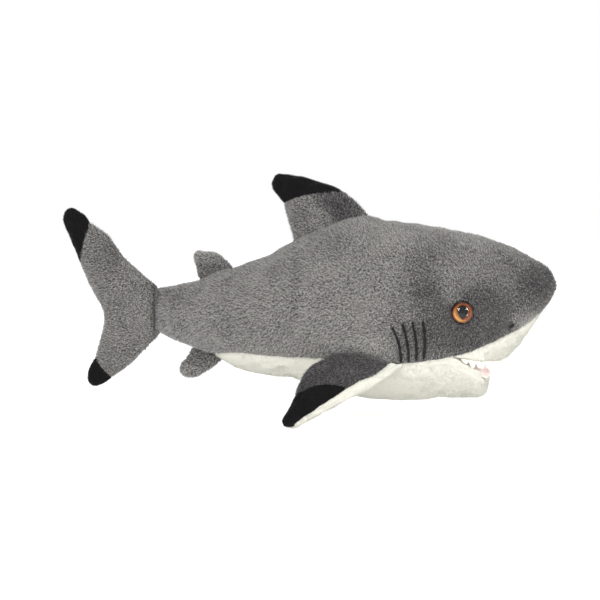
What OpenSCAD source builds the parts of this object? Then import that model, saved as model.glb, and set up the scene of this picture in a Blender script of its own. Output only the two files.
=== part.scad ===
// Stuffed shark sewn from short-pile plush.
// X runs from tail to nose, Y from right to left and Z up.
// The origin lies under the middle of the outline, on the surface that the fin tips rest on.

/* [Body] */
// Height of the belly above the surface that the pectoral fin tips rest on
belly_lift = 15.4; // [15:0.1:16]
// Squareness of the belly's curve, where 1 is an ellipse
belly_square = 0.88; // [0.84:0.01:0.92]

/* [Cloth] */
// Thickness of the plush cloth with its pile
cloth = 2.2; // [1.8:0.1:2.4]
// Clearance between two layers that are sewn together
layer_gap = 0.3; // [0.2:0.1:0.4]
// Thickness of the thin cloth that lines the mouth
lining = 1.4; // [1:0.1:1.4]

/* [Fins] */
// Half thickness of a fin at its sewn edge
fin_edge = 1.4; // [1.2:0.1:1.6]
// Radius of the seam roll that joins a fin to the body
root_r = 3.2; // [2.8:0.1:3.3]
// How far the pectoral fins droop below level, in degrees
pectoral_droop = 52.7; // [52:0.1:53]

/* [Face] */
// Radius of the round plastic eye
eye_r = 8; // [7.5:0.1:8]
// Height of the eye's clear dome
eye_dome = 3.4; // [3:0.1:3.6]
// Radius of the eye's shank
shank_r = 2.4; // [2.2:0.1:2.5]
// Width of an embroidered gill line
gill_w = 1.4; // [1.2:0.1:1.6]
// Length of the felt teeth
tooth_l = 5; // [4:0.5:5.5]

/* [Hidden] */

grey = "#7d7b7e";
black = "#1c1b1d";
white = "#eeece3";
pink = "#eab9b4";
stuffing_white = "#f6f4ee";
amber = "#b5651d";

// Body sections from the tail seam to the nose: [x, top z, bottom z, half width, z of the grey and
// white seam, z of the widest level]. Heights are above the belly line. The bottom runs on as if
// the mouth were shut.
BODY = [
    [-110.5, 83, 44, 9, 45, 63],
    [-100, 84.5, 38.6, 15, 40, 61.5],
    [-84, 88, 33, 21, 35, 60.5],
    [-68, 94, 28.6, 26.5, 31, 60],
    [-50, 99.3, 20.5, 32, 33, 59],
    [-30, 106.7, 15.8, 37.5, 32, 59],
    [-8, 118, 12.3, 43, 31, 60],
    [16, 129, 8, 49, 31, 61.5],
    [40, 136, 2.5, 54, 30, 62],
    [60, 133, 0, 56.5, 28.5, 61.5],
    [84, 130, 0, 56, 29.5, 61],
    [104, 127, 1, 53, 32.5, 61],
    [122, 123.7, 1.3, 48.5, 36.5, 62],
    [131, 121.5, 1.6, 45, 39.5, 63],
    [136.2, 120, 5.8, 42.4, 41.6, 64],
    [138.8, 119, 17.5, 40.9, 42.7, 64.4],
    [148, 115.9, 27.5, 37, 46.5, 67],
    [155, 113, 35.5, 33, 50, 69.5],
    [163, 109.2, 45.3, 28, 54, 73],
    [170, 105.5, 55.5, 22.5, 58.5, 76.5],
    [176.5, 102, 64.5, 17, 65, 80],
    [181.5, 98.5, 71.5, 12, 71.5, 83],
    [185.3, 93, 78.5, 7, 78.5, 85],
    [187.6, 87, 84, 2.2, 84, 85.5]
];
last_row = len(BODY) - 1;
// Row at which the white belly panel comes to its point behind, and where the grey sides meet again
belly_from = 3.5;
snout_to = 21.5;
// Steps along the body for each row of the table, and steps round each panel
row_steps = 2;
side_steps = 12;
belly_steps = 8;
degrees_per_radian = 180 / PI;

// The mouth in side view, above the belly line: its corner, the upper lip and the lower jaw's lip
mouth_corner = [114, 33.8];
upper_lip = [149.5, 29.3];
jaw_lip = [139, 18.6];

// Fins from root to tip in their own plane: [x, z] of the rear edge, then of the front edge
DORSAL = [
    [-13, 127.5, 37.6, 146],
    [-15, 135.5, 33.2, 150],
    [-17.6, 144.5, 26.6, 154.4],
    [-21.6, 150.5, 13.4, 160],
    [-25.3, 155, -0.5, 164.2],
    [-26.2, 160, -12, 166.3],
    [-24, 164.5, -18.5, 166.8]
];
dorsal_axis = [[-9, 123.5], [38, 142]];
dorsal_tip_from = 2 / 6;
SECOND_DORSAL = [
    [-84.1, 97, -62.4, 103.2],
    [-85.8, 101, -66.2, 106.6],
    [-86.4, 104.5, -70.8, 108.7],
    [-85.5, 107.5, -76.5, 109.2],
    [-83.5, 109.2, -80.5, 109.6]
];
second_dorsal_axis = [[-83, 92.3], [-66, 98.5]];
ANAL_FIN = [
    [-92.4, 28, -70.3, 22],
    [-96.2, 24, -74.6, 18.7],
    [-97.6, 19.5, -79.6, 15.4],
    [-96.8, 16, -84.4, 13],
    [-94, 13.6, -89.5, 12.7]
];
anal_fin_axis = [[-89.5, 33], [-76, 28.3]];
// The tail fin runs from the upper tip through the fork to the lower tip
TAIL_FIN = [
    [-186.2, 137.5, -179, 141],
    [-187.1, 131, -173.5, 137.3],
    [-182.2, 117.5, -170.2, 134.8],
    [-174, 98, -165.8, 129.8],
    [-169.6, 88, -151.5, 118.5],
    [-163.5, 75.5, -137.5, 102.5],
    [-158, 66, -122.8, 86.5],
    [-156, 59.5, -121, 72],
    [-156.3, 53, -120, 56],
    [-158.5, 43.5, -120.5, 40],
    [-161, 35, -136, 22.8],
    [-163.2, 28, -149.8, 12.2],
    [-168, 18, -156, 8],
    [-168.8, 10.5, -161.5, 5.6]
];
tail_axis = [[-118, 81.5], [-115.5, 48]];
tail_upper_to = 3 / 13;
tail_lower_from = 11 / 13;
// The pectoral fin, measured along its root from the rear end and out from the root
PECTORAL = [
    [-12, 4.2, 44.5, 4.2],
    [-15.8, 10.5, 42, 7.5],
    [-18, 18, 38.5, 11.5],
    [-19.2, 26, 34, 16.5],
    [-19.2, 34.5, 28.5, 21.5],
    [-19.8, 41, 17.5, 31.5],
    [-21.4, 48, 6, 42],
    [-22.6, 54.5, -3, 50.5],
    [-20, 59.5, -10.5, 58]
];
pectoral_rear = [26, 50.8, 31];
pectoral_front = [66, 54.2, 25.6];
pectoral_tip_from = 4 / 8;

// Half thickness that the stuffing adds to each fin at its thickest
dorsal_puff = 7;
second_dorsal_puff = 4.5;
anal_fin_puff = 4.5;
tail_puff = 6.5;
pectoral_puff = 6.5;
// Share of that thickness inside the cloth
inner_share = 0.86;
fin_steps = 8;

// Eye, nostril and gill places on the body's side: [x, z above the belly line]
eye_at = [121.3, 67.6];
nostril_at = [155, 57.4];
GILLS = [
    [[71.8, 56], [76.3, 44], [77.4, 32]],
    [[78.8, 58.8], [82, 46], [83, 32.6]],
    [[86, 60], [88.4, 47], [88.4, 33.6]],
    [[93.4, 60.4], [94.7, 48], [93.8, 34.8]]
];
eye_lift = 0.4;
washer_depth = 4;

// ---- curves and closed skins ----

// Catmull-Rom point between b and c
function blend4(a, b, c, d, t) =
    0.5 * (2 * b + (c - a) * t + (2 * a - 5 * b + 4 * c - d) * t * t
        + (3 * b - a - 3 * c + d) * t * t * t);

// Value of a table at a row number that need not be whole
function at(rows, s) =
    let (n = len(rows) - 1, i = max(0, min(floor(s), n - 1)))
    blend4(rows[max(i - 1, 0)], rows[i], rows[i + 1], rows[min(i + 2, n)], s - i);

// Triangles of a grid with m + 1 points in each of its n + 1 rows
function grid(n, m, base, flip) = [
    for (i = [0 : n - 1], j = [0 : m - 1])
        let (a = base + i * (m + 1) + j, b = a + m + 1, c = b + 1, d = a + 1)
        each flip ? [[a, c, b], [a, d, c]] : [[a, b, c], [a, c, d]]
];

// Indices round the border of such a grid
function border(n, m) = concat(
    [for (j = [0 : m - 1]) j],
    [for (i = [0 : n - 1]) i * (m + 1) + m],
    [for (j = [m : -1 : 1]) n * (m + 1) + j],
    [for (i = [n : -1 : 1]) i * (m + 1)]
);

// Solid between two grids of the same size
module between(outer, inner, n, m) {
    k = len(outer);
    edge = border(n, m);
    walls = [
        for (i = [0 : len(edge) - 1])
            let (a = edge[i], b = edge[(i + 1) % len(edge)])
            each [[a, b, b + k], [a, b + k, a + k]]
    ];
    polyhedron(concat(outer, inner), concat(grid(n, m, 0, false), grid(n, m, k, true), walls));
}

// ---- body ----

// One section of the body, drawn in by d
function section(s, d) =
    let (
        r = at(BODY, s),
        side_in = min(d, 0.5 * r[3]),
        high_in = min(d, 0.22 * (r[1] - r[2])),
        nose_in = d * max(0, 1 - r[3] / 12) * (s > last_row / 2 ? 1 : 0)
    )
    [r[0] - nose_in, r[1] - high_in, r[2] + high_in, r[3] - side_in, r[5]];

// Point of the left side, where angle 0 is the back and 180 is the belly
function body_point(s, angle, d) =
    let (q = section(s, d), c = q[4], k = angle > 90 ? belly_square : 1)
    [
        q[0],
        q[3] * pow(max(sin(angle), 0), k),
        angle < 90 ? c + (q[1] - c) * cos(angle) : c - (c - q[2]) * pow(abs(cos(angle)), k)
    ];

// Angle at which a section drawn in by d passes a height
function angle_at(s, z, d = 0) =
    let (q = section(s, d), c = q[4])
    z >= c
        ? acos(min(1, (z - c) / (q[1] - c)))
        : 90 + asin(pow(min(1, (c - z) / (c - q[2])), 1 / belly_square));

function seam_angle(s) = angle_at(s, max(at(BODY, s)[4], section(s, 0)[2]));

// Row number at which the body reaches x, found by halving
function row_at(x, low = 0, high = last_row, turns = 18) =
    let (middle = (low + high) / 2)
    turns == 0 ? middle
        : section(middle, 0)[0] < x
            ? row_at(x, middle, high, turns - 1)
            : row_at(x, low, middle, turns - 1);

// Point on the left side at x and z, and the outward direction there
function side_point(x, z) = let (s = row_at(x)) body_point(s, angle_at(s, z), 0);
function side_normal(x, z) =
    let (
        along = side_point(x + 1, z) - side_point(x - 1, z),
        up = side_point(x, z + 1) - side_point(x, z - 1),
        n = cross(up, along)
    )
    n / norm(n);

// The left side from the back down to the seam, as rows of points
function side_grid(n, m, d) = [
    for (i = [0 : n], j = [0 : m])
        let (s = last_row * i / n, p = body_point(s, seam_angle(s) * j / m, d))
        [p[0], max(p[1], layer_gap / 2), p[2]]
];

// The whole white underside, from just inside one seam to the other
function under_grid(s0, s1, n, m, d) = [
    for (i = [0 : n], j = [0 : 2 * m])
        let (
            s = s0 + (s1 - s0) * i / n,
            seam = min(178, seam_angle(s) + layer_gap / section(s, 0)[3] * degrees_per_radian),
            t = (j - m) / m,
            p = body_point(s, 180 - (180 - seam) * abs(t), d)
        )
        [p[0], -sign(t) * p[1], p[2]]
];

module side_skin() {
    n = last_row * row_steps;
    between(side_grid(n, side_steps, 0), side_grid(n, side_steps, cloth), n, side_steps);
}

module under_skin(s0, s1) {
    n = round((s1 - s0) * row_steps);
    between(
        under_grid(s0, s1, n, belly_steps, 0),
        under_grid(s0, s1, n, belly_steps, cloth),
        n, 2 * belly_steps
    );
}

// The stuffed shape, drawn in by d and closed at both ends
module core(s0, s1, d, around = 24) {
    n = round((s1 - s0) * row_steps);
    points = [
        for (i = [0 : n], j = [0 : around - 1])
            let (
                turn = 360 * j / around,
                p = body_point(s0 + (s1 - s0) * i / n, turn > 180 ? 360 - turn : turn, d)
            )
            [p[0], turn > 180 ? -p[1] : p[1], p[2]]
    ];
    sides = [
        for (i = [0 : n - 1], j = [0 : around - 1])
            let (a = i * around + j, d2 = i * around + (j + 1) % around)
            each [[a, a + around, d2 + around], [a, d2 + around, d2]]
    ];
    polyhedron(
        points,
        concat(
            sides,
            [[for (j = [0 : around - 1]) j]],
            [[for (j = [around - 1 : -1 : 0]) n * around + j]]
        )
    );
}

// Prism right across the body from an outline in side view
module across(outline) {
    translate([0, 80, 0]) rotate([90, 0, 0]) linear_extrude(160) polygon(outline);
}

module on_body() {
    translate([0, 0, belly_lift]) children();
}

// Carries a shape with its base on XY out to the left side at [x, z]
module on_side(place, lift = 0) {
    p = side_point(place[0], place[1]);
    n = side_normal(place[0], place[1]);
    translate(p + n * lift)
        rotate([0, acos(n[2]), atan2(n[1], n[0])]) rotate([0, 0, 90]) children();
}

module eye_hole(r) {
    on_side(eye_at) translate([0, 0, -20]) cylinder(r = r, h = 40, $fn = 32);
}

module side_panel() {
    color(grey) difference() {
        side_skin();
        eye_hole(shank_r + layer_gap);
    }
}

module side_panel_left() { on_body() side_panel(); }
module side_panel_right() { on_body() mirror([0, 1, 0]) side_panel(); }

module belly_panel() {
    color(white) on_body() difference() {
        under_skin(belly_from, 16);
        across([mouth_corner, jaw_lip, [160, 5], [160, 70], [mouth_corner[0], 70]]);
    }
}

module snout_underside() {
    behind = mouth_corner[0] + layer_gap;
    color(white) on_body() intersection() {
        under_skin(11, snout_to);
        across([[behind, mouth_corner[1]], upper_lip, [200, upper_lip[1]], [200, 110], [behind, 110]]);
    }
}

// Pocket in the stuffing round the eye's shank and washer
module eye_pocket() {
    on_side(eye_at) {
        translate([0, 0, -16]) cylinder(r = shank_r + layer_gap, h = 20, $fn = 32);
        translate([0, 0, -washer_depth - 2 - layer_gap])
            cylinder(r = eye_r - 1 + layer_gap, h = 10, $fn = 32);
    }
}

module body_stuffing() {
    room = lining + layer_gap;
    color(stuffing_white) on_body() difference() {
        core(0.5, last_row - 1, cloth + 3 * layer_gap);
        across([
            mouth_corner + [-5.5, 2.1], upper_lip + [1, room + 0.6], [upper_lip[0] + 1, 4],
            jaw_lip - [0, room + 0.5], mouth_corner + [-5.5, 1.1]
        ]);
        eye_pocket();
        mirror([0, 1, 0]) eye_pocket();
    }
}

// Rows of points across the mouth along a line in side view, from one cheek to the other
function lining_grid(a, b, n, m, lift) = [
    for (i = [0 : n], j = [0 : m])
        let (
            q = a + (b - a) * i / n,
            s = row_at(q[0]),
            d = cloth + 2 * layer_gap,
            half = body_point(s, angle_at(s, q[1] + min(0, lift), d), d)[1],
            t = 2 * j / m - 1
        )
        [q[0], -t * half, q[1] + lift]
];

// Sheet of lining from a to b whose face is turned to the mouth's opening
module lining_sheet(a, b, thick) {
    n = 10;
    m = 6;
    low = min(0, thick);
    high = max(0, thick);
    color(pink) on_body()
        between(lining_grid(a, b, n, m, high), lining_grid(a, b, n, m, low), n, m);
}

module mouth_roof() { lining_sheet(mouth_corner + [1, -0.1], [142.5, lip_z(142.5) - 0.1], lining); }
module mouth_floor() { lining_sheet(mouth_corner + [1, -1.1], jaw_lip + [-3.5, 1.5], -lining); }

// ---- teeth ----

function lip_z(x) =
    mouth_corner[1]
    + (upper_lip[1] - mouth_corner[1]) * (x - mouth_corner[0]) / (upper_lip[0] - mouth_corner[0]);

// The upper lip in plan, from in front of one mouth corner round the front to the other
lip_half = [
    for (s = [12 : 0.1 : 16.1])
        let (p = body_point(s, angle_at(s, lip_z(section(s, 0)[0])), 0)) [p[0], p[1]]
];
whole_lip = concat(
    lip_half, [for (i = [len(lip_half) - 1 : -1 : 0]) [lip_half[i][0], -lip_half[i][1]]]
);

// Length along a line up to each of its points
function lengths(line, i = 0, run = 0) =
    i == len(line) - 1 ? [run]
        : concat([run], lengths(line, i + 1, run + norm(line[i + 1] - line[i])));

// Point of a line at a share of its length
function along(line, share) =
    let (
        run = lengths(line),
        want = share * run[len(run) - 1],
        i = max([for (k = [0 : len(run) - 2]) run[k] <= want ? k : 0])
    )
    line[i] + (line[i + 1] - line[i]) * (want - run[i]) / (run[i + 1] - run[i]);

tooth_count = 19;
// Root line of the felt strip behind the skin, and the depth of its notches
tooth_inset = 1.2;
notch_l = 1.2;
felt_t = 1;

// Point on the strip at step i of n, set in from the lip
function strip_point(i, n, inset) =
    let (
        p = along(whole_lip, i / n),
        way = along(whole_lip, min(1, (i + 0.5) / n)) - along(whole_lip, max(0, (i - 0.5) / n)),
        turned = [way[1], -way[0]] / norm(way)
    )
    p + turned * inset;

function strip(n, inset) = [
    for (i = [0 : n])
        let (p = strip_point(i, n, inset), top = lip_z(p[0]) - layer_gap)
        each [[p[0], p[1], top], [p[0], p[1], top - (i % 2 == 0 ? notch_l : tooth_l)]]
];

module upper_teeth() {
    n = 2 * tooth_count;
    color(white) on_body()
        between(strip(n, tooth_inset), strip(n, tooth_inset + felt_t), n, 1);
}

// ---- fins ----

// Half thickness of the stuffed fin, at a share v of its length and u of its width
function puff_at(v, u, full) =
    full * (1 - 0.62 * v * v) * (0.72 + 0.28 * min(1, 5 * v)) * pow(max(0, 4 * u * (1 - u)), 0.6);
// The tail fin has two tips, so its fullness falls off both ways from the middle
function tail_puff_at(v, u, full) =
    full * (1 - 0.6 * pow(abs(2 * v - 1), 2)) * pow(max(0, 4 * u * (1 - u)), 0.6);

// Points of a fin face: both is true for the tail fin, out is the height's sign
function fin_grid(rows, v0, v1, n, u0, u1, m, base, full, both, out) = [
    for (i = [0 : n], j = [0 : m])
        let (
            v = v0 + (v1 - v0) * i / n,
            u = u0 + (u1 - u0) * j / m,
            r = at(rows, v * (len(rows) - 1)),
            h = base + (both ? tail_puff_at(v, u, full) : puff_at(v, u, full))
        )
        [r[0] + (r[2] - r[0]) * u, out * h, r[1] + (r[3] - r[1]) * u]
];

// Cloth face of a fin on its left, or upper, side
module fin_face(rows, v0, v1, full, both = false) {
    n = max(2, round((v1 - v0) * (len(rows) - 1) * 1.5));
    between(
        fin_grid(rows, v0, v1, n, 0, 1, fin_steps, fin_edge, full, both, 1),
        fin_grid(rows, v0, v1, n, 0, 1, fin_steps, layer_gap / 2, full * inner_share, both, 1),
        n, fin_steps
    );
}

module fin_filling(rows, v0, v1, full, both = false) {
    n = max(2, round((v1 - v0) * (len(rows) - 1) * 1.5));
    between(
        fin_grid(rows, v0, v1, n, 0.14, 0.86, fin_steps, -layer_gap / 2, full * inner_share, both, 1),
        fin_grid(rows, v0, v1, n, 0.14, 0.86, fin_steps, -layer_gap / 2, full * inner_share, both, -1),
        n, fin_steps
    );
}

// Round seam roll along a root line in the middle plane
module root_roll(line) {
    run = line[1] - line[0];
    translate([line[0][0], 0, line[0][1]])
        rotate([0, atan2(run[0], run[1]), 0]) cylinder(r = root_r, h = norm(run), $fn = 32);
}

module left() { on_body() children(); }
module right() { on_body() mirror([0, 1, 0]) children(); }

module dorsal_face() { color(grey) fin_face(DORSAL, 0, dorsal_tip_from, dorsal_puff); }
module dorsal_tip() { color(black) fin_face(DORSAL, dorsal_tip_from, 1, dorsal_puff); }
module dorsal_fin_left() { left() dorsal_face(); }
module dorsal_fin_right() { right() dorsal_face(); }
module dorsal_tip_left() { left() dorsal_tip(); }
module dorsal_tip_right() { right() dorsal_tip(); }
module dorsal_stuffing() { color(stuffing_white) left() fin_filling(DORSAL, 0.02, 0.92, dorsal_puff); }
module dorsal_root_seam() { color(grey) left() root_roll(dorsal_axis); }

module second_dorsal_face() { color(grey) fin_face(SECOND_DORSAL, 0, 1, second_dorsal_puff); }
module second_dorsal_left() { left() second_dorsal_face(); }
module second_dorsal_right() { right() second_dorsal_face(); }
module second_dorsal_stuffing() {
    color(stuffing_white) left() fin_filling(SECOND_DORSAL, 0.03, 0.9, second_dorsal_puff);
}
module second_dorsal_root_seam() { color(grey) left() root_roll(second_dorsal_axis); }

module anal_fin_face() { color(grey) fin_face(ANAL_FIN, 0, 1, anal_fin_puff); }
module anal_fin_left() { left() anal_fin_face(); }
module anal_fin_right() { right() anal_fin_face(); }
module anal_fin_stuffing() { color(stuffing_white) left() fin_filling(ANAL_FIN, 0.03, 0.9, anal_fin_puff); }
module anal_fin_root_seam() { color(grey) left() root_roll(anal_fin_axis); }

module tail_face() { color(grey) fin_face(TAIL_FIN, tail_upper_to, tail_lower_from, tail_puff, true); }
module tail_upper_tip() { color(black) fin_face(TAIL_FIN, 0, tail_upper_to, tail_puff, true); }
module tail_lower_tip() { color(black) fin_face(TAIL_FIN, tail_lower_from, 1, tail_puff, true); }
module tail_fin_left() { left() tail_face(); }
module tail_fin_right() { right() tail_face(); }
module tail_upper_tip_left() { left() tail_upper_tip(); }
module tail_upper_tip_right() { right() tail_upper_tip(); }
module tail_lower_tip_left() { left() tail_lower_tip(); }
module tail_lower_tip_right() { right() tail_lower_tip(); }
module tail_stuffing() { color(stuffing_white) left() fin_filling(TAIL_FIN, 0.05, 0.95, tail_puff, true); }
module tail_root_seam() { color(grey) left() root_roll(tail_axis); }

// Frame of the left pectoral fin: along the root, out along the fin, and up off its face
pectoral_x = (pectoral_front - pectoral_rear) / norm(pectoral_front - pectoral_rear);
droop_way = [0, cos(pectoral_droop), -sin(pectoral_droop)];
pectoral_flat = droop_way - (droop_way * pectoral_x) * pectoral_x;
pectoral_out = pectoral_flat / norm(pectoral_flat);
pectoral_up = cross(pectoral_x, pectoral_out);

// Takes a fin drawn in the X and Z plane to the left pectoral's place
module at_pectoral() {
    x = pectoral_x;
    y = pectoral_up;
    z = pectoral_out;
    o = pectoral_rear;
    multmatrix([
        [x[0], y[0], z[0], o[0]],
        [x[1], y[1], z[1], o[1]],
        [x[2], y[2], z[2], o[2]],
        [0, 0, 0, 1]
    ]) children();
}

module pectoral_top() { color(grey) at_pectoral() fin_face(PECTORAL, 0, pectoral_tip_from, pectoral_puff); }
module pectoral_tip() { color(black) at_pectoral() fin_face(PECTORAL, pectoral_tip_from, 1, pectoral_puff); }
module pectoral_underside() {
    color(white) at_pectoral() mirror([0, 1, 0]) fin_face(PECTORAL, 0, 1, pectoral_puff);
}
module pectoral_stuffing() {
    color(stuffing_white) at_pectoral() fin_filling(PECTORAL, 0.03, 0.92, pectoral_puff);
}
module pectoral_root_seam() {
    color(grey) at_pectoral() rotate([0, 90, 0])
        cylinder(r = root_r, h = norm(pectoral_front - pectoral_rear), $fn = 32);
}
module pectoral_top_left() { left() pectoral_top(); }
module pectoral_tip_left() { left() pectoral_tip(); }
module pectoral_underside_left() { left() pectoral_underside(); }
module pectoral_stuffing_left() { left() pectoral_stuffing(); }
module pectoral_root_seam_left() { left() pectoral_root_seam(); }
module pectoral_top_right() { right() pectoral_top(); }
module pectoral_tip_right() { right() pectoral_tip(); }
module pectoral_underside_right() { right() pectoral_underside(); }
module pectoral_stuffing_right() { right() pectoral_stuffing(); }
module pectoral_root_seam_right() { right() pectoral_root_seam(); }

// ---- eyes ----

iris_t = 1;
pupil_t = 0.4;

module eye_iris() {
    color(amber) on_side(eye_at, eye_lift) cylinder(r = eye_r - 0.2, h = iris_t, $fn = 48);
}

// Upright drop, round above and pointed below
module eye_pupil() {
    color(black) on_side(eye_at, eye_lift + iris_t) linear_extrude(pupil_t) hull() {
        translate([0, 1.3]) circle(r = 4.2, $fn = 32);
        translate([0, -5.3]) circle(r = 0.5, $fn = 16);
    }
}

module eye_dome() {
    ball = (eye_r * eye_r + eye_dome * eye_dome) / (2 * eye_dome);
    base = eye_lift + iris_t + pupil_t + 0.05;
    color([0.95, 0.9, 0.8, 0.35]) on_side(eye_at, base) rotate_extrude($fn = 48) intersection() {
        translate([0, eye_dome - ball]) circle(r = ball, $fn = 96);
        square([eye_r, eye_dome]);
    }
}

module eye_shank() {
    color(black) on_side(eye_at, -14) {
        cylinder(r = shank_r, h = 14 + eye_lift - 0.05, $fn = 32);
        for (i = [0 : 3]) translate([0, 0, 1 + 2 * i]) cylinder(r = shank_r + 0.25, h = 0.8, $fn = 32);
    }
}

module eye_washer() {
    color("#d8d8d0") on_side(eye_at, -washer_depth - 2) difference() {
        cylinder(r = eye_r - 1, h = 1.6, $fn = 48);
        translate([0, 0, -1]) cylinder(r = shank_r + layer_gap, h = 4, $fn = 32);
    }
}

module eye_dome_left() { left() eye_dome(); }
module eye_iris_left() { left() eye_iris(); }
module eye_pupil_left() { left() eye_pupil(); }
module eye_shank_left() { left() eye_shank(); }
module eye_washer_left() { left() eye_washer(); }
module eye_dome_right() { right() eye_dome(); }
module eye_iris_right() { right() eye_iris(); }
module eye_pupil_right() { right() eye_pupil(); }
module eye_shank_right() { right() eye_shank(); }
module eye_washer_right() { right() eye_washer(); }

// ---- embroidery ----

gill_steps = 8;
stitch_t = 0.9;

// Point of a gill line at t from 0 to 1, shifted sideways by w and off the cloth by h
function gill_at(g, t, w, h) =
    let (
        p = g[0] * (1 - t) * (1 - t) + (2 * g[1] - (g[0] + g[2]) / 2) * 2 * t * (1 - t) + g[2] * t * t,
        q = [p[0] + w, p[1]]
    )
    side_point(q[0], q[1]) + side_normal(q[0], q[1]) * h;

function gill_grid(g, h) = [
    for (i = [0 : gill_steps], j = [0 : 1]) gill_at(g, i / gill_steps, gill_w * (j - 0.5), h)
];

module gill_stitches() {
    color(black) for (g = GILLS)
        between(gill_grid(g, stitch_t), gill_grid(g, 0.1), gill_steps, 1);
}

// Satin stitch patch with round ends
module nostril_stitches() {
    color(black) on_side(nostril_at, 0.1) rotate([0, 0, -20]) linear_extrude(stitch_t) {
        square([2.4, 2.6], center = true);
        for (x = [-1.2, 1.2]) translate([x, 0]) circle(r = 1.3, $fn = 24);
    }
}

module gill_stitches_left() { left() gill_stitches(); }
module gill_stitches_right() { right() gill_stitches(); }
module nostril_stitches_left() { left() nostril_stitches(); }
module nostril_stitches_right() { right() nostril_stitches(); }

side_panel_left();
side_panel_right();
belly_panel();
snout_underside();
body_stuffing();
mouth_roof();
mouth_floor();
upper_teeth();
dorsal_fin_left();
dorsal_fin_right();
dorsal_tip_left();
dorsal_tip_right();
dorsal_stuffing();
dorsal_root_seam();
second_dorsal_left();
second_dorsal_right();
second_dorsal_stuffing();
second_dorsal_root_seam();
anal_fin_left();
anal_fin_right();
anal_fin_stuffing();
anal_fin_root_seam();
tail_fin_left();
tail_fin_right();
tail_upper_tip_left();
tail_upper_tip_right();
tail_lower_tip_left();
tail_lower_tip_right();
tail_stuffing();
tail_root_seam();
pectoral_top_left();
pectoral_tip_left();
pectoral_underside_left();
pectoral_stuffing_left();
pectoral_root_seam_left();
pectoral_top_right();
pectoral_tip_right();
pectoral_underside_right();
pectoral_stuffing_right();
pectoral_root_seam_right();
eye_dome_left();
eye_iris_left();
eye_pupil_left();
eye_shank_left();
eye_washer_left();
eye_dome_right();
eye_iris_right();
eye_pupil_right();
eye_shank_right();
eye_washer_right();
gill_stitches_left();
gill_stitches_right();
nostril_stitches_left();
nostril_stitches_right();
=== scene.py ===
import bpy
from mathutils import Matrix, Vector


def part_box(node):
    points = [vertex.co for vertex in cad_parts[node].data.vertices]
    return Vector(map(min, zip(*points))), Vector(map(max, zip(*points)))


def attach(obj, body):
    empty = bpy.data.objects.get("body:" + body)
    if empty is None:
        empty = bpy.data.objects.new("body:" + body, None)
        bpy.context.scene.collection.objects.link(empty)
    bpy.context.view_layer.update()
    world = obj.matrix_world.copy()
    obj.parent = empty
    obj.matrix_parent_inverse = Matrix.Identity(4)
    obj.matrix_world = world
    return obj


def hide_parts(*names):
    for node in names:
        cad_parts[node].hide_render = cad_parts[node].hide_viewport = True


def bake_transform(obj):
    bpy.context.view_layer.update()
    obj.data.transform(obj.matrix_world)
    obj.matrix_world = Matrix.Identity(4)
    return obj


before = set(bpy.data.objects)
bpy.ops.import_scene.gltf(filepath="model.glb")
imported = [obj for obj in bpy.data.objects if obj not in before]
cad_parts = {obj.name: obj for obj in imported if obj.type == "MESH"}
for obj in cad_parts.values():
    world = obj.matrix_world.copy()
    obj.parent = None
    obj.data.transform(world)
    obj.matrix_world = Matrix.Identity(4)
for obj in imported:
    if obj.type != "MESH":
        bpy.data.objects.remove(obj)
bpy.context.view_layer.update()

import copy
import math

import bmesh
import bpy
import numpy as np
from mathutils import Vector

# Lengths are in millimetres until metres() turns them into Blender's metres. X runs from tail to
# nose, Y from right to left and Z up. Heights are above the belly line, as in the CAD model.
MM = 0.001

# ---- the stuffed shape, as in the CAD model ----

# Body sections from tail to nose: [x, top z, bottom z, half width, z of the grey and white seam,
# z of the widest level]. The first row is the pinch at the tail's root and the last closes the nose.
BODY = np.array([
    [-115.5, 82, 45, 4.6, 45, 64],
    [-110.5, 83, 44, 9, 45, 63], [-100, 84.5, 38.6, 15, 40, 61.5], [-84, 88, 33, 21, 35, 60.5],
    [-68, 94, 28.6, 26.5, 31, 60], [-50, 99.3, 20.5, 32, 33, 59], [-30, 106.7, 15.8, 37.5, 32, 59],
    [-8, 118, 12.3, 43, 31, 60], [16, 129, 8, 49, 31, 61.5], [40, 136, 2.5, 54, 30, 62],
    [60, 133, 0, 56.5, 28.5, 61.5], [84, 130, 0, 56, 29.5, 61], [104, 127, 1, 53, 32.5, 61],
    [122, 123.7, 1.3, 48.5, 36.5, 62], [131, 121.5, 1.6, 45, 39.5, 63],
    [136.2, 120, 5.8, 42.4, 41.6, 64], [138.8, 119, 17.5, 40.9, 42.7, 64.4],
    [148, 115.9, 27.5, 37, 46.5, 67], [155, 113, 35.5, 33, 50, 69.5],
    [163, 109.2, 45.3, 28, 54, 73], [170, 105.5, 55.5, 22.5, 58.5, 76.5],
    [176.5, 102, 64.5, 17, 65, 80], [181.5, 98.5, 71.5, 12, 71.5, 83],
    [185.3, 93, 78.5, 7, 78.5, 85], [187.6, 87, 84, 2.2, 84, 85.5], [188.2, 86, 85, 0.3, 85, 85.5],
])
LAST = len(BODY) - 1
BELLY_SQUARE = 0.88
# Rows where the belly panel begins, between which it ends at the jaw's lip, and where the white
# under the snout comes to its point
BELLY_FROM = 4
JAW_ROWS = (13, 18)
SNOUT_TO = 21.95

# The mouth in side view: its corner, the upper lip and the lower jaw's lip
MOUTH_CORNER = (114, 33.8)
UPPER_LIP = (149.5, 29.3)
JAW_LIP = (139, 18.6)
LIP_ROLL = 2.2
# Past this the nose is too narrow for pile to stand on
NOSE_BARE = 186.3

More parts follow.
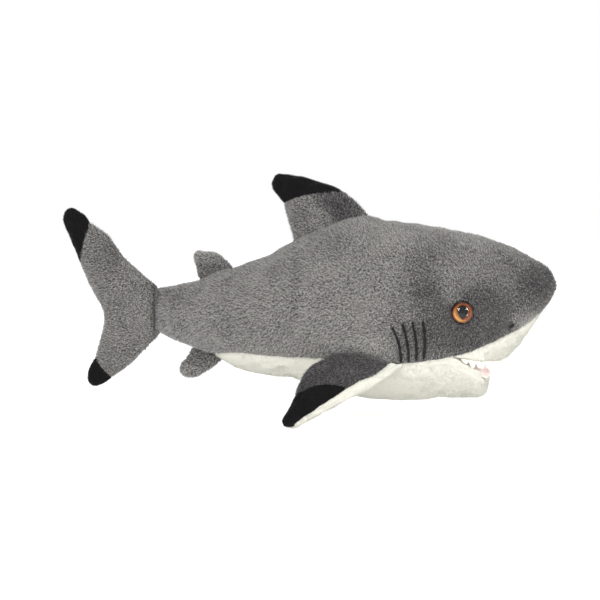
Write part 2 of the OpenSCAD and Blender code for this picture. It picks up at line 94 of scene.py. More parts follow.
# Fins from root to tip in their own plane: [x, z] of the rear edge, then of the front edge. The
# first row lies inside the body. The others are the CAD model's, but the dorsal fin is a little
# longer at its root, and the tail's rows 5 to 9 reach on to the body, where the CAD leaves a gap.
DORSAL = [
    [-9, 112, 51, 131], [-13, 127.5, 38.6, 145.5], [-15, 135.5, 33.2, 150], [-17.6, 144.5, 26.6, 154.4],
    [-21.6, 150.5, 13.4, 160], [-25.3, 155, -0.5, 164.2], [-26.2, 160, -12, 166.3],
    [-24, 164.5, -18.5, 166.8],
]
SECOND_DORSAL = [
    [-82.5, 86, -54, 94.5], [-84.1, 97, -62.4, 103.2], [-85.8, 101, -66.2, 106.6],
    [-86.4, 104.5, -70.8, 108.7], [-85.5, 107.5, -76.5, 109.2], [-83.5, 109.2, -80.5, 109.6],
]
ANAL_FIN = [
    [-86, 39, -58, 32], [-92.4, 28, -70.3, 22], [-96.2, 24, -74.6, 18.7],
    [-97.6, 19.5, -79.6, 15.4], [-96.8, 16, -84.4, 13], [-94, 13.6, -89.5, 12.7],
]
# The tail fin runs from the upper tip through the fork to the lower tip
TAIL_FIN = [
    [-186.2, 137.5, -179, 141], [-187.1, 131, -173.5, 137.3], [-182.2, 117.5, -170.2, 134.8],
    [-174, 98, -165.8, 129.8], [-169.6, 88, -151.5, 118.5], [-163.5, 75.5, -138, 101.4],
    [-158, 66, -117.5, 83], [-156, 59.5, -113.7, 73], [-156.3, 53, -113.2, 56],
    [-158.5, 43.5, -115.5, 43], [-161, 35, -136, 22.8], [-163.2, 28, -149.8, 12.2],
    [-168, 18, -156, 8], [-168.8, 10.5, -161.5, 5.6],
]
PECTORAL = [
    [0, -8, 52, -6], [-12, 4.2, 44.5, 4.2], [-15.8, 10.5, 42, 7.5], [-18, 18, 38.5, 11.5],
    [-19.2, 26, 34, 16.5], [-19.2, 34.5, 28.5, 21.5], [-19.8, 41, 17.5, 31.5], [-21.4, 48, 6, 42],
    [-22.6, 54.5, -3, 50.5], [-20, 59.5, -10.5, 58],
]
# How far the white cloth wraps over the front edge at each of those rows
WRAP = [9, 9, 9.5, 10, 10.5, 10, 7, 4.5, 3, 2]
PECTORAL_REAR = np.array([26, 50.8, 31])
PECTORAL_FRONT = np.array([66, 54.2, 25.6])
PECTORAL_DROOP = math.radians(52.7)
# Half thickness of a fin at its sewn edge
FIN_EDGE = 1.4
# Rows between which the tail's front edge is sewn to the body, and its half thickness there
TAIL_SEWN = (5.5, 9.4)
TAIL_SEWN_HALF = 3.0
# How far round a pectoral's rear edge the grey and black cloth reach, in turns
REAR_WRAP = -0.05

EYE_AT = (121.3, 67.6)
EYE_R = 8
NOSTRIL_AT = (155, 57.4)
GILLS = [
    [[71.8, 56], [76.3, 44], [77.4, 32]], [[78.8, 58.8], [82, 46], [83, 32.6]],
    [[86, 60], [88.4, 47], [88.4, 33.6]], [[93.4, 60.4], [94.7, 48], [93.8, 34.8]],
]

# The cloth stays bare this far past the eye's rim, and this near a gill stitch and the nostril
EYE_BARE = 0.6
GILL_BARE = 1.7
NOSTRIL_BARE = 3.8

CLOTH_T = 0.8
# How far inside the CAD surface each kind of backing cloth lies, with the pile standing on it
PILE_RISE = {"grey": 1.5, "white": 1.3, "black": 0.6}


def cubic(a, b, c, d, t):
    """Catmull-Rom point between b and c."""
    return 0.5 * (
        2 * b + (c - a) * t + (2 * a - 5 * b + 4 * c - d) * t**2 + (3 * b - a - 3 * c + d) * t**3
    )


def at(rows, s, column=()):
    """Smooth values of a table, or of a column of a grid, at row numbers that need not be whole."""
    rows = np.asarray(rows, float)
    n = len(rows) - 1
    s = np.asarray(s, float)
    i = np.clip(np.floor(s).astype(int), 0, n - 1)
    near = [rows[(np.clip(i + step, 0, n), *column)] for step in (-1, 0, 1, 2)]
    return cubic(*near, (s - i)[..., None])


def smooth(t):
    t = np.clip(t, 0, 1)
    return t * t * (3 - 2 * t)


def length_of(v):
    return np.linalg.norm(v, axis=-1)


def unit(v):
    """The same directions with length 1."""
    return v / np.maximum(length_of(v), 1e-9)[..., None]


BELLY_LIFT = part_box("belly_panel")[0].z / MM - at(BODY, np.arange(BELLY_FROM, LAST, 0.5))[:, 2].min()


def metres(points):
    return (np.asarray(points, float) + [0, 0, BELLY_LIFT]) * MM


# ---- stuffed forms: points of (row, turn), where the turn runs once round from 0 to 2 ----


def body_point(s, turn):
    """Turn 0 is the back and 1 the belly, and the left side comes first."""
    x, top, bottom, half, _, widest = np.moveaxis(at(BODY, s), -1, 0)
    angle = np.asarray(turn, float) * math.pi
    side, up = np.sin(angle), np.cos(angle)
    k = np.where(up < 0, BELLY_SQUARE, 1)
    y = half * np.sign(side) * np.abs(side) ** k
    z = np.where(up > 0, widest + (top - widest) * up, widest - (widest - bottom) * np.abs(up) ** k)
    return np.stack(np.broadcast_arrays(x, y, z), -1)


def turn_at(s, z):
    """Turn at which the left side passes a height."""
    _, top, bottom, _, _, widest = np.moveaxis(at(BODY, s), -1, 0)
    above = np.arccos(np.clip((z - widest) / (top - widest), -1, 1))
    share = np.clip((widest - z) / (widest - bottom), 0, 1)
    below = math.pi / 2 + np.arcsin(share ** (1 / BELLY_SQUARE))
    return np.where(z >= widest, above, below) / math.pi


def row_at(x):
    s = np.linspace(0, LAST, 2000)
    return np.interp(x, at(BODY, s)[:, 0], s)


def seam_turn(s):
    rows = at(BODY, s)
    return turn_at(s, np.maximum(rows[..., 4], rows[..., 2]))


def line_z(x, a, b):
    """Height of a straight line in side view at x."""
    return a[1] + (b[1] - a[1]) * (x - a[0]) / (b[0] - a[0])


def fin_form(rows, full, place=None, both=False, skew=1.0, edge_round=4.5, power=0.6,
             grow=(0.5, 1.6), bow=0.22, pinch=0.0):
    """A stuffed fin. Turns 0 to 1 cross its left or upper face, and 1 to 2 come back on the other.

    full is its half thickness, both is for a fin with a tip at either end, and place takes its own
    plane to the body. skew and power shape the bulge across it, edge_round its edges and bow its
    tip. grow lets the rear and front edges out, and pinch flattens the front of the root.
    """
    rows = np.array(rows, float)
    last = len(rows) - 1
    middles = (rows[:, 0:2] + rows[:, 2:4]) / 2
    tip_step = length_of(middles[-1] - middles[-2])
    tip_way, top_way = unit(middles[-1] - middles[-2]), unit(middles[1] - middles[0])

    def point(k, turn):
        k, turn = np.broadcast_arrays(np.asarray(k, float), np.asarray(turn, float) % 2)
        side = np.where(turn < 1, 1, -1)
        across = np.where(turn < 1, turn, 2 - turn)
        r = at(rows, k)
        rear, front = r[..., 0:2], r[..., 2:4]
        chord = length_of(front - rear)
        # The pile leans back along the edges, so the cloth stands out a little further there
        u = across + (across * grow[1] - (1 - across) * grow[0]) / np.maximum(chord, 12)
        flat = rear + (front - rear) * u[..., None]
        flat = flat + tip_way * (bow * chord * smooth(k - last + 1) * 4 * across * (1 - across))[..., None]
        if both:
            flat = flat - top_way * (bow * chord * smooth(1 - k) * 4 * across * (1 - across))[..., None]
        skewed = across**skew
        bulge = np.clip(4 * skewed * (1 - skewed), 0, 1) ** power
        edge = np.minimum(across, 1 - across) * chord
        from_tip = (last - k) * tip_step
        if both:
            puff = full * (1 - 0.6 * (2 * k / last - 1) ** 2) * bulge
            from_tip = np.minimum(from_tip, k * tip_step)
            # In the middle the front edge is sewn to the body and stays open
            sewn = smooth((k - TAIL_SEWN[0]) / 0.7) * smooth((TAIL_SEWN[1] - k) / 0.7)
            sewn = sewn * smooth((across - 0.6) / 0.3)
            puff = np.maximum(puff, TAIL_SEWN_HALF * sewn)
            edge = edge + edge_round * sewn
        else:
            v = np.clip((k - 1) / (last - 1), 0, 1)
            puff = full * (1 - 0.62 * v**2) * (0.72 + 0.28 * np.minimum(1, 5 * v)) * bulge
        reach = np.clip(np.minimum(edge, from_tip) / edge_round, 0, 1)
        h = (FIN_EDGE + puff) * np.sqrt(1 - (1 - reach) ** 2)
        h = h * (1 - pinch * smooth((4.5 - k) / 4.5) * smooth((across - 0.4) / 0.5))
        p = np.stack([flat[..., 0], side * h, flat[..., 1]], -1)
        return place(p) if place else p

    return point


def pectoral_place(side):
    """Carries a pectoral's own plane to its root on the left, 1, or the right, -1."""
    x = unit(PECTORAL_FRONT - PECTORAL_REAR)
    droop = np.array([0, math.cos(PECTORAL_DROOP), -math.sin(PECTORAL_DROOP)])
    out = unit(droop - droop.dot(x) * x)
    up = np.cross(x, out)
    mirror = np.array([1, side, 1])

    def place(p):
        q = PECTORAL_REAR + p[..., :1] * x + p[..., 1:2] * up + p[..., 2:] * out
        return q * mirror

    return place


class Form:
    """A stuffed form with the swelling that the cloth simulation gives it."""

    def __init__(self, name, point, last, rows, around, held, cap):
        self.name, self.point, self.last = name, point, last
        self.rows, self.around, self.held, self.cap = rows, around, held, cap
        self.swell = np.zeros((rows + 1, around, 3))

    def coarse(self):
        k = np.linspace(0, self.last, self.rows + 1)[:, None]
        turn = np.arange(self.around)[None, :] * 2 / self.around
        return np.broadcast_arrays(k, turn)

    def at(self, k, turn):
        k, turn = np.broadcast_arrays(np.asarray(k, float), np.asarray(turn, float) % 2)
        wrapped = np.pad(self.swell, ((0, 0), (2, 3), (0, 0)), mode="wrap")
        i = np.clip(k, 0, self.last) * self.rows / self.last
        j = turn * self.around / 2 + 2
        j0 = np.floor(j).astype(int)
        near = [at(wrapped, i, (j0 + step,)) for step in (-1, 0, 1, 2)]
        return self.point(k, turn) + cubic(*near, (j - j0)[..., None])

    def normal(self, k, turn, step=0.012):
        """Outward direction, from small steps along and round the form."""
        k, turn = np.broadcast_arrays(np.asarray(k, float), np.asarray(turn, float))
        k0, k1 = np.maximum(k - step, 0), np.minimum(k + step, self.last)
        along = self.at(k1, turn) - self.at(k0, turn)
        around = self.at(k, turn + step) - self.at(k, turn - step)
        n = unit(np.cross(along, around))
        out = self.at(k, turn) - self.at(k, 2 - turn)
        return n if (n * out).sum() >= 0 else -n


def quads(n, m, wrap=False):
    """Corner numbers of the faces of a grid of n by m points."""
    i, j = np.meshgrid(np.arange(n - 1), np.arange(m if wrap else m - 1), indexing="ij")
    i, j = i.ravel(), j.ravel()
    j1 = (j + 1) % m
    return np.stack([i * m + j, (i + 1) * m + j, (i + 1) * m + j1, i * m + j1], 1)


def end_caps(n, m):
    """Triangles that close both ends of a wrapped grid, to two more points, the first end's first."""
    first, last = n * m, (n - 1) * m
    rim = [(j, (j + 1) % m) for j in range(m)]
    return [[first, a, b] for a, b in rim] + [[first + 1, last + b, last + a] for a, b in rim]


def outward(points, faces):
    """The faces of a closed shape, turned round if it would be inside out."""
    p = points - points.mean(0)
    a, b, c, d = (p[faces[:, i]] for i in range(4))
    volume = (a * (np.cross(b, c) + np.cross(c, d))).sum()
    return faces if volume > 0 else faces[:, ::-1]


def thickened(outer, inner):
    """Points and faces of a sheet between two grids, closed round its border."""
    n, m = outer.shape[:2]
    face = quads(n, m)
    i, j = np.arange(n), np.arange(m)
    border = np.concatenate([j, i[1:] * m + m - 1, (n - 1) * m + j[::-1][1:], i[::-1][1:-1] * m])
    after = np.roll(border, -1)
    walls = np.stack([border, after, after + n * m, border + n * m], 1)
    faces = np.concatenate([face, face[:, ::-1] + n * m, walls])
    return np.concatenate([outer.reshape(-1, 3), inner.reshape(-1, 3)]), faces


def joined(parts):
    """One list of points and one of faces from several pairs of them."""
    starts = np.cumsum([0] + [len(points) for points, _ in parts]).tolist()
    faces = [[v + start for v in face] for start, (_, own) in zip(starts, parts) for face in own]
    return np.concatenate([points for points, _ in parts]), faces


def in_scene(name, data):
    ob = bpy.data.objects.new(name, data)
    bpy.context.scene.collection.objects.link(ob)
    return ob


def mesh_object(name, points, faces, looks=(), picks=None):
    """A smooth mesh from a grid's or a list's faces, where picks gives each face its look."""
    mesh = bpy.data.meshes.new(name)
    mesh.from_pydata(metres(points).tolist(), [], faces if isinstance(faces, list) else faces.tolist())
    for look in looks:
        mesh.materials.append(look)
    if picks is not None:
        mesh.polygons.foreach_set("material_index", np.asarray(picks, np.int32))
    mesh.polygons.foreach_set("use_smooth", np.full(len(mesh.polygons), True))
    mesh.update()
    return in_scene(name, mesh)


def simulate(forms, frames=20, share=0.42):
    """Blows every form up with Cloth and pressure, and keeps a share of how far each point moved."""
    made = []
    for form in forms:
        k, turn = form.coarse()
        p = form.point(k, turn)
        n, m = k.shape
        points = np.concatenate([p.reshape(-1, 3), p[:1].mean(1), p[-1:].mean(1)])
        faces = quads(n, m, True).tolist() + end_caps(n, m)
        ob = mesh_object("sim_" + form.name, points, faces)
        facing = np.cross(p[2:, 1:] - p[:-2, 1:], p[1:-1, 1:] - p[1:-1, :-1])
        if (facing * form.normal(k, turn)[1:-1, 1:]).sum() < 0:
            ob.data.flip_normals()
        pin = ob.vertex_groups.new(name="pin")
        held = form.held(k, turn).ravel()
        for i in np.flatnonzero(held > 0.02):
            pin.add([int(i)], float(held[i]), "REPLACE")
        pin.add([n * m, n * m + 1], 1.0, "REPLACE")
        cloth = ob.modifiers.new("Cloth", "CLOTH")
        rule = cloth.settings
        rule.quality = 5
        rule.mass = 0.2
        rule.tension_stiffness = rule.compression_stiffness = 10
        rule.shear_stiffness = 4
        rule.bending_stiffness = 0.3
        rule.shrink_min = -0.04
        rule.use_pressure = True
        rule.uniform_pressure_force = 4
        rule.vertex_group_mass = "pin"
        rule.effector_weights.gravity = 0
        cloth.collision_settings.use_collision = False
        cloth.point_cache.frame_start, cloth.point_cache.frame_end = 1, frames
        made.append((form, ob, p))
    scene = bpy.context.scene
    for step in range(1, frames + 1):
        scene.frame_set(step)
    graph = bpy.context.evaluated_depsgraph_get()
    for form, ob, p in made:
        mesh = ob.evaluated_get(graph).to_mesh()
        co = np.empty(len(mesh.vertices) * 3)
        mesh.vertices.foreach_get("co", co)
        count = p.shape[0] * p.shape[1]
        moved = co.reshape(-1, 3)[:count].reshape(p.shape) / MM - [0, 0, BELLY_LIFT] - p
        length = share * length_of(moved)[..., None]
        form.swell = share * moved * np.minimum(1, form.cap / np.maximum(length, 1e-9))
        print("swell", form.name, "mean %.2f, most %.2f mm" % (length.mean(), length.max()))
        bpy.data.objects.remove(ob)
    scene.frame_set(1)


# ---- materials ----


def srgb(r, g, b):
    return [((c / 255 + 0.055) / 1.055) ** 2.4 if c > 10 else c / 3294 for c in (r, g, b)] + [1]


def material(name, colour, roughness, **sockets):
    m = bpy.data.materials.new(name)
    m.use_nodes = True
    shader = m.node_tree.nodes["Principled BSDF"]
    shader.inputs["Base Color"].default_value = colour
    shader.inputs["Roughness"].default_value = roughness
    for socket, value in sockets.items():
        shader.inputs[socket.replace("_", " ")].default_value = value
    return m


def node(m, kind, **values):
    made = m.node_tree.nodes.new(kind)
    for key, value in values.items():
        if hasattr(made, key):
            setattr(made, key, value)
        else:
            made.inputs[key.replace("_", " ")].default_value = value
    return made


def maths(m, operation, second=None, kind="ShaderNodeMath"):
    made = node(m, kind, operation=operation)
    if second is not None:
        made.inputs[1].default_value = second
    return made


def ramp(m, *stops):
    """A colour ramp through pairs of place and colour."""
    made = node(m, "ShaderNodeValToRGB")
    elements = made.color_ramp.elements
    elements[0].position, elements[0].color = stops[0]
    elements[1].position, elements[1].color = stops[-1]
    for place, colour in stops[1:-1]:
        elements.new(place).color = colour
    return made


def speckled(name, dark, light, scale, roughness, bump, depth, **sockets):
    """A material whose colour and relief vary with two sizes of noise, in object space."""
    m = material(name, dark, roughness, **sockets)
    link = m.node_tree.links.new
    shader = m.node_tree.nodes["Principled BSDF"]
    where = node(m, "ShaderNodeTexCoord")
    fine = node(m, "ShaderNodeTexNoise", Scale=scale, Detail=3.0)
    broad = node(m, "ShaderNodeTexNoise", Scale=scale / 12, Detail=2.0)
    add, half = maths(m, "ADD"), maths(m, "MULTIPLY", 0.5)
    colours = ramp(m, (0.35, dark), (0.65, light))
    link(where.outputs["Object"], fine.inputs["Vector"])
    link(where.outputs["Object"], broad.inputs["Vector"])
    link(fine.outputs["Fac"], add.inputs[0])
    link(broad.outputs["Fac"], add.inputs[1])
    link(add.outputs[0], half.inputs[0])
    link(half.outputs[0], colours.inputs["Fac"])
    link(colours.outputs["Color"], shader.inputs["Base Color"])
    relief = node(m, "ShaderNodeBump", Strength=bump, Distance=depth)
    link(fine.outputs["Fac"], relief.inputs["Height"])
    link(relief.outputs["Normal"], shader.inputs["Normal"])
    return m


def shades(name, dark, light, count, sheen=0.25):
    """Plain cloth-fibre materials in even steps from dark to light."""
    steps = [i / (count - 1) for i in range(count)]
    return [
        material(f"{name}_{i}", srgb(*[a + (b - a) * t for a, b in zip(dark, light)]), 0.75,
                 Specular_IOR_Level=0.25, Sheen_Weight=sheen, Sheen_Roughness=0.5)
        for i, t in enumerate(steps)
    ]


PLUSH = {"Specular_IOR_Level": 0.2, "Sheen_Weight": 0.3, "Sheen_Roughness": 0.5}
CLOTHS = {
    "grey": speckled("grey_backing", srgb(48, 46, 49), srgb(96, 94, 93), 700, 0.9, 0.6, 0.0006, **PLUSH),
    "white": speckled("white_backing", srgb(218, 217, 207), srgb(232, 231, 222), 700, 0.9, 0.5, 0.0005,
                      **PLUSH),
    "black": speckled("black_backing", srgb(9, 8, 10), srgb(20, 18, 20), 900, 0.9, 0.5, 0.0004,
                      Specular_IOR_Level=0.15),
}
PILES = {
    "grey": dict(shades=shades("grey_pile", (40, 38, 42), (190, 188, 182), 10), middle=6.7, jitter=2.9,
                 length=2.3, radius=0.3, density=2.8, lean=(32, 64), stray=45),
    "white": dict(shades=shades("white_pile", (215, 214, 202), (235, 234, 222), 4), middle=1.8, jitter=0.7,
                  length=1.9, radius=0.3, density=1.9, lean=(40, 70), stray=55),
    "black": dict(shades=shades("black_pile", (8, 7, 9), (26, 24, 26), 3, 0.05), middle=0.9, jitter=0.5,
                  length=1.2, radius=0.2, density=3.0, lean=(30, 65), stray=70),
}
PINK_LINING = speckled("pink_lining", srgb(250, 226, 220), srgb(255, 240, 236), 900, 0.8, 0.4, 0.0003,
                       **PLUSH)
FELT = speckled("white_felt", srgb(232, 230, 218), srgb(244, 242, 232), 1500, 0.95, 0.8, 0.0003,
                Specular_IOR_Level=0.2)
THREAD = speckled("black_thread", srgb(8, 7, 9), srgb(26, 24, 27), 2200, 0.6, 0.5, 0.0002,
                  Specular_IOR_Level=0.3)


# ---- noise, and painted sheen and shade in the grey plush ----


def noise(points, size, seed):
    """Smooth value noise from -1 to 1 that changes over that many millimetres."""
    table = np.random.default_rng(seed).uniform(-1, 1, 8192)
    q = points / size
    cell = np.floor(q).astype(np.int64)
    f = smooth(q - cell)
    total = np.zeros(q.shape[:-1])
    for corner in range(8):
        step = np.array([corner & 1, corner >> 1 & 1, corner >> 2 & 1])
        weight = np.prod(np.where(step == 1, f, 1 - f), -1)
        at_corner = cell + step
        key = at_corner[..., 0] * 73856093 ^ at_corner[..., 1] * 19349663 ^ at_corner[..., 2] * 83492791
        total += weight * table[key % len(table)]
    return total


# Painted sheen and shade of the nap, where the pile is painted lighter or darker: [x, z, half length, half
# height, tilt, amount]
NAP_SHEEN_AND_SHADE_PATCHES = [
    [60, 112, 17, 24, 0, 0.5], [124, 58, 44, 27, 8, -2.3], [113, 82, 6, 13, 20, 1.0],
    [136, 82, 13, 8, -5, -0.8], [99, 83, 11, 9, 0, -0.9], [163, 62, 10, 7, 25, 1.6],
    [174, 90, 18, 15, -25, -1.9], [96, 104, 18, 12, 0, -0.5], [-2, 89, 4, 22, 5, -0.7],
    # The narrow patch at x -112.6 is painted shade along the crease at the tail's root
    [-21, 93, 7, 8, 0, -0.6], [-100, 74, 13, 8, 0, -0.8], [-112.6, 64, 1.2, 22, -4, -1.6],
    [58, 44, 26, 7, 0, 0.5], [150, 104, 16, 8, -25, -0.5], [86, 44, 12, 10, 0, -0.2],
    [20, 75, 25, 20, 0, 0.3], [20, 118, 26, 10, -20, -0.3], [92, 92, 13, 19, 0, -0.8],
]


def nap_sheen_and_shade(p):
    """How much lighter the body's grey pile is painted at each point, in shades: noise mottling plus the
    patches, all painted sheen and shade of the nap.
    """
    total = 0.35 * noise(p, 26, 1) + 0.3 * noise(p, 9, 2)
    for x, z, long, high, tilt, amount in NAP_SHEEN_AND_SHADE_PATCHES:
        c, s = math.cos(math.radians(tilt)), math.sin(math.radians(tilt))
        a, b = p[..., 0] - x, p[..., 2] - z
        r2 = ((a * c + b * s) / long) ** 2 + ((b * c - a * s) / high) ** 2
        total += amount * np.exp(-(r2**1.5))
    return total


# ---- skins and pile ----


class Skin:
    """Grid of points and outward directions of one sewn piece, ready to be made and given pile."""

    def __init__(self, form, k, start, end, columns, seams="ijIJ", depth=1.6, width=2.6, bows=(0, 0)):
        k = np.asarray(k, float)[:, None]
        # The columns lie closer together near both edges
        t = (1 - np.cos(np.linspace(0, math.pi, columns))) / 2
        t = 0.35 * t + 0.65 * np.linspace(0, 1, columns)
        share = np.linspace(0, 1, len(k))[:, None]
        k = k + (bows[0] * (1 - share) + bows[1] * share) * np.sin(math.pi * t)
        start = np.broadcast_to(start, k.shape[:1])[:, None]
        end = np.broadcast_to(end, k.shape[:1])[:, None]
        turn = start + (end - start) * t
        self.k = k
        self.p = form.at(self.k, turn)
        self.n = form.normal(self.k, turn)
        run_j = np.pad(np.cumsum(length_of(np.diff(self.p, axis=1)), 1), ((0, 0), (1, 0)))
        run_i = np.pad(np.cumsum(length_of(np.diff(self.p, axis=0)), 0), ((1, 0), (0, 0)))
        to_edge = {"i": run_i, "I": run_i[-1:] - run_i, "j": run_j, "J": run_j[:, -1:] - run_j}
        self.drop = sum(depth * np.exp(-(to_edge[side] / width) ** 2) for side in seams)
        a, b = self.p[1:, :-1] - self.p[:-1, :-1], self.p[:-1, 1:] - self.p[:-1, :-1]
        self.flipped = (np.cross(a, b) * self.n[:-1, :-1]).sum() < 0

    def part(self, from_row):
        """The same skin from a row onwards, for pile that leaves the hidden root bare."""
        other = copy.copy(self)
        rows = self.k[:, 0] >= from_row
        other.p, other.n = self.p[rows], self.n[rows]
        return other

    def sink(self, amount):
        """Draws the cloth in by more, where amount is a number for each point."""
        self.drop = self.drop + amount

    def settle(self, kind, pucker=0.25):
        """Moves the points to where the backing cloth of that kind lies."""
        pucker_at = pucker * noise(self.p, 3.5, 11) + 0.35 * noise(self.p, 12, 12)
        self.p = self.p - self.n * (PILE_RISE[kind] + self.drop + pucker_at)[..., None]

    def roll(self, radius, last_column, sweep=200, steps=7):
        """Rolls one long edge inward round a lip, with a radius for each row."""
        edge = -1 if last_column else 0
        p, n = self.p[:, edge], self.n[:, edge]
        beside = self.p[:, -2 if last_column else 1]
        along = np.gradient(p, axis=0)
        away = unit(np.cross(along, n))
        away *= np.sign(((p - beside) * away).sum(-1, keepdims=True) + 1e-12)
        angle = np.radians(np.linspace(0, sweep, steps + 1)[1:])[None, :, None]
        p, n, away, r = p[:, None], n[:, None], away[:, None], np.asarray(radius)[:, None, None]
        added = (p + r * (np.sin(angle) * away - (1 - np.cos(angle)) * n),
                 np.cos(angle) * n + np.sin(angle) * away)
        if last_column:
            self.p, self.n = (np.concatenate([a, b], 1) for a, b in zip((self.p, self.n), added))
        else:
            self.p, self.n = (np.concatenate([b[:, ::-1], a], 1) for a, b in zip((self.p, self.n), added))

    def shell(self):
        """Points and faces of the cloth with its thickness."""
        points, faces = thickened(self.p, self.p - self.n * CLOTH_T)
        return points, (faces[:, ::-1] if self.flipped else faces).tolist()


def make_skin(name, skins, kind, replaced):
    """One cloth piece from one or two grids that meet, with doubled points merged."""
    ob = mesh_object(name, *joined([skin.shell() for skin in skins]), [CLOTHS[kind]])
    bm = bmesh.new()
    bm.from_mesh(ob.data)
    bmesh.ops.remove_doubles(bm, verts=bm.verts, dist=2e-6)
    bmesh.ops.dissolve_degenerate(bm, edges=bm.edges, dist=1e-6)
    bm.to_mesh(ob.data)
    bm.free()
    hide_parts(*replaced)
    return ob


GOLDEN = (math.sqrt(5) - 1) / 2


def pile(name, skins, kind, seed, settle, nap=(-1, 0, -0.35), keep=None, tone=None, most=62000):
    """Pointed tufts that stand on the skins and lean along the nap, each in one of a few shades."""
    rule = PILES[kind]
    rng = np.random.default_rng(seed)
    roots, outs = [], []
    for skin in skins:
        p, n = skin.p, skin.n
        a, b, c, d = p[:-1, :-1], p[1:, :-1], p[1:, 1:], p[:-1, 1:]
        area = length_of(np.cross(c - a, d - b)).ravel() / 2
        count = int(area.sum() * rule["density"])
        # One tuft to each equal share of the area, so that they spread evenly
        spread = (np.arange(count) + rng.random(count)) / count * area.sum()
        pick = np.searchsorted(np.cumsum(area), spread)
        i, j = np.divmod(np.minimum(pick, len(area) - 1), p.shape[1] - 1)
        s, t = rng.random((2, count, 1))

        def mixed(g):
            near = g[i, j] * (1 - t) + g[i, j + 1] * t
            return near * (1 - s) + (g[i + 1, j] * (1 - t) + g[i + 1, j + 1] * t) * s

        roots.append(mixed(p))
        outs.append(unit(mixed(n)))
    root, out = np.concatenate(roots), np.concatenate(outs)
    if keep is not None:
        good = keep(root)
        root, out = root[good], out[good]
    count = len(root)
    way = np.asarray(nap, float) + 0.5 * np.stack([noise(root, 14, number) for number in (21, 22, 23)], -1)
    way = unit(way - out * (way * out).sum(-1, keepdims=True))
    across = np.cross(out, way)
    stray = np.radians(rng.normal(0, rule["stray"], (count, 1)))
    way, across = way * np.cos(stray) + across * np.sin(stray), across * np.cos(stray) - way * np.sin(stray)
    lean = np.radians(rng.uniform(*rule["lean"], (count, 1)))
    length = rule["length"] * rng.uniform(0.75, 1.15, (count, 1))
    tip = root + length * (np.cos(lean) * out + np.sin(lean) * way)
    base = root - 0.25 * out
    r = rule["radius"] * rng.uniform(0.8, 1.2, (count, 1))
    ring = [base + r * (math.cos(a) * across + math.sin(a) * way) for a in np.radians([90, 210, 330])]
    points = np.stack([*ring, tip], 1)
    value = rule["middle"] + 2 * (tone(root) if tone else 0.3 * noise(root, 8, 4))
    # Golden steps through the shades keep neighbours apart, so that the grain stays fine
    value += rule["jitter"] * math.sqrt(3) * (2 * (np.arange(count) * GOLDEN % 1) - 1)
    value = np.clip(np.rint(value), 0, len(rule["shades"]) - 1)
    pieces = math.ceil(count / most)
    for piece in range(pieces):
        part = slice(count * piece // pieces, count * (piece + 1) // pieces)
        start = np.arange(len(points[part]))[:, None] * 4
        faces = np.stack([start + [0, 1, 3], start + [1, 2, 3], start + [2, 0, 3]], 1).reshape(-1, 3)
        piece_name = f"{name}_{piece + 1}" if pieces > 1 else name
        ob = mesh_object(piece_name, points[part].reshape(-1, 3), faces, rule["shades"],
                         np.repeat(value[part], 3))
        settle(ob)


def ride_body(ob):
    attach(ob, "root")


# ---- the forms and their simulation ----


# The eye's washer, the nostril and the gill stitching hold the cloth to the stuffing: [x, z] and reach
HELD_NEAR = [(EYE_AT, 15), (NOSTRIL_AT, 7), (GILLS[1][1], 12), (GILLS[2][1], 12)]


def beside(turn, seam, width=0.035):
    """1 on a seam, falling to 0 over a few times the width."""
    return np.exp(-(((turn - seam) / width) ** 2))


def folded(turn):
    """The same turn counted on the left side."""
    return np.where(turn > 1, 2 - turn, turn)


def body_held(k, turn):
    """How firmly a point of the body is held: at its seams, at both ends and round the mouth."""
    t = folded(turn)
    p = body_point(k, turn)
    mouth = smooth((p[..., 0] - 100) / 12) * smooth((44 - p[..., 2]) / 8)
    root = beside(t, 0, 0.1) * smooth((p[..., 0] + 22) / 8) * smooth((48 - p[..., 0]) / 8)
    ends = np.maximum(smooth((1.6 - k) / 1.2), smooth((k - LAST + 8) / 4))
    sewn = np.zeros(p.shape[:-1])
    for (x, z), reach in HELD_NEAR:
        far = np.hypot(p[..., 0] - x, p[..., 2] - z)
        sewn = np.maximum(sewn, smooth((reach - far) / 5))
    return np.maximum.reduce([beside(t, 0), beside(t, seam_turn(k)), mouth, root, ends, sewn])


def fin_held(last, both):
    """Holds a fin at its edges, its root or first tip, and its tip."""
    def held(k, turn):
        t = folded(turn)
        edge = np.maximum(beside(t, 0, 0.06), beside(t, 1, 0.06))
        root = smooth((0.9 - k) / 0.3) if both else smooth((1.6 - k) / 0.8)
        tip = smooth((k - last + 0.9) / 0.3)
        return np.maximum.reduce([edge, root, tip])

    return held


def fin(name, rows, full, grid, cap, both=False, **shape):
    """The form of a fin, with its coarse grid for the simulation and the most that it may swell."""
    last = len(rows) - 1
    return Form(name, fin_form(rows, full, both=both, **shape), last, *grid, fin_held(last, both), cap)


SIDES = {"left": 1, "right": -1}
body = Form("body", body_point, LAST, 90, 56, body_held, 1.6)
dorsal = fin("dorsal", DORSAL, 7, (16, 28), 1.0)
second_dorsal = fin("second_dorsal", SECOND_DORSAL, 4.5, (10, 16), 0.7)
anal_fin = fin("anal_fin", ANAL_FIN, 4.5, (10, 16), 0.7)
tail = fin("tail", TAIL_FIN, 6.5, (40, 26), 1.0, both=True)
pectorals = {
    name: fin("pectoral_" + name, PECTORAL, 9.5, (22, 28), 1.0, place=pectoral_place(side), skew=1.12,
              edge_round=5.5, power=0.8, grow=(0.4, 0.9), bow=0.08, pinch=0.6)
    for name, side in SIDES.items()
}
simulate([body, dorsal, second_dorsal, anal_fin, tail, *pectorals.values()])


# ---- body ----


def side_spot(place, side, lift=0.0):
    """Point on the body's side at [x, z], lifted off the CAD surface, and the outward way there."""
    k = row_at(place[0])
    turn = turn_at(k, place[1])
    turn = turn if side > 0 else 2 - turn
    p, n = body.at(k, turn), body.normal(k, turn)
    return p + n * lift, n


